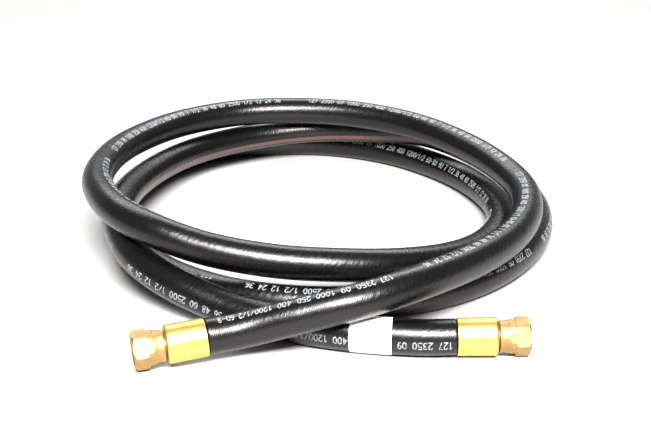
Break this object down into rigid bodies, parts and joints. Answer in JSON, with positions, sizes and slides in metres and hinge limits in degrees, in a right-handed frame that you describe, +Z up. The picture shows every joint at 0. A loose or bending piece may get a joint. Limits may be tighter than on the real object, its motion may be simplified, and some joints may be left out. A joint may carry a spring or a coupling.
{
  "type": "fuel hose assembly",
  "caption": "Flexible black rubber fuel hose, loosely coiled, with a crimped ferrule and a free-turning hexagonal nut on each end; carries fuel between two threaded ports.",
  "frame": {"origin": "on the table the coil lies on, under the middle of the whole assembly's box", "axes": "+Z up from the table; +X to the right and +Y away from the side on which both fittings lie, so end A is at the front left and end B at the front right"},
  "size_m": [0.3691, 0.4726, 0.07],
  "materials": {
    "hose": "black rubber with a fine cloth-wrap texture and a thin pink line along one side",
    "label": "white, blank, matt",
    "ferrule": "bright yellow plating, glossy",
    "brass": "machined brass"
  },
  "bodies": {
    "hose_assembly": {"hose": "hose", "label": "label", "ferrule_a": "ferrule", "stem_a": "brass", "ferrule_b": "ferrule", "stem_b": "brass"},
    "nut_a": {"nut_a": "brass"},
    "nut_b": {"nut_b": "brass"}
  },
  "joints": [
    {"name": "nut_a_swivel", "type": "hinge", "parent": "hose_assembly", "child": "nut_a", "pos_m": [-0.0735, -0.2119, 0.0172], "axis": [-0.9603, -0.267, -0.0804], "continuous": true},
    {"name": "nut_b_swivel", "type": "hinge", "parent": "hose_assembly", "child": "nut_b", "pos_m": [0.0852, -0.2021, 0.0126], "axis": [0.9998, -0.0074, 0.016], "continuous": true}
  ]
}
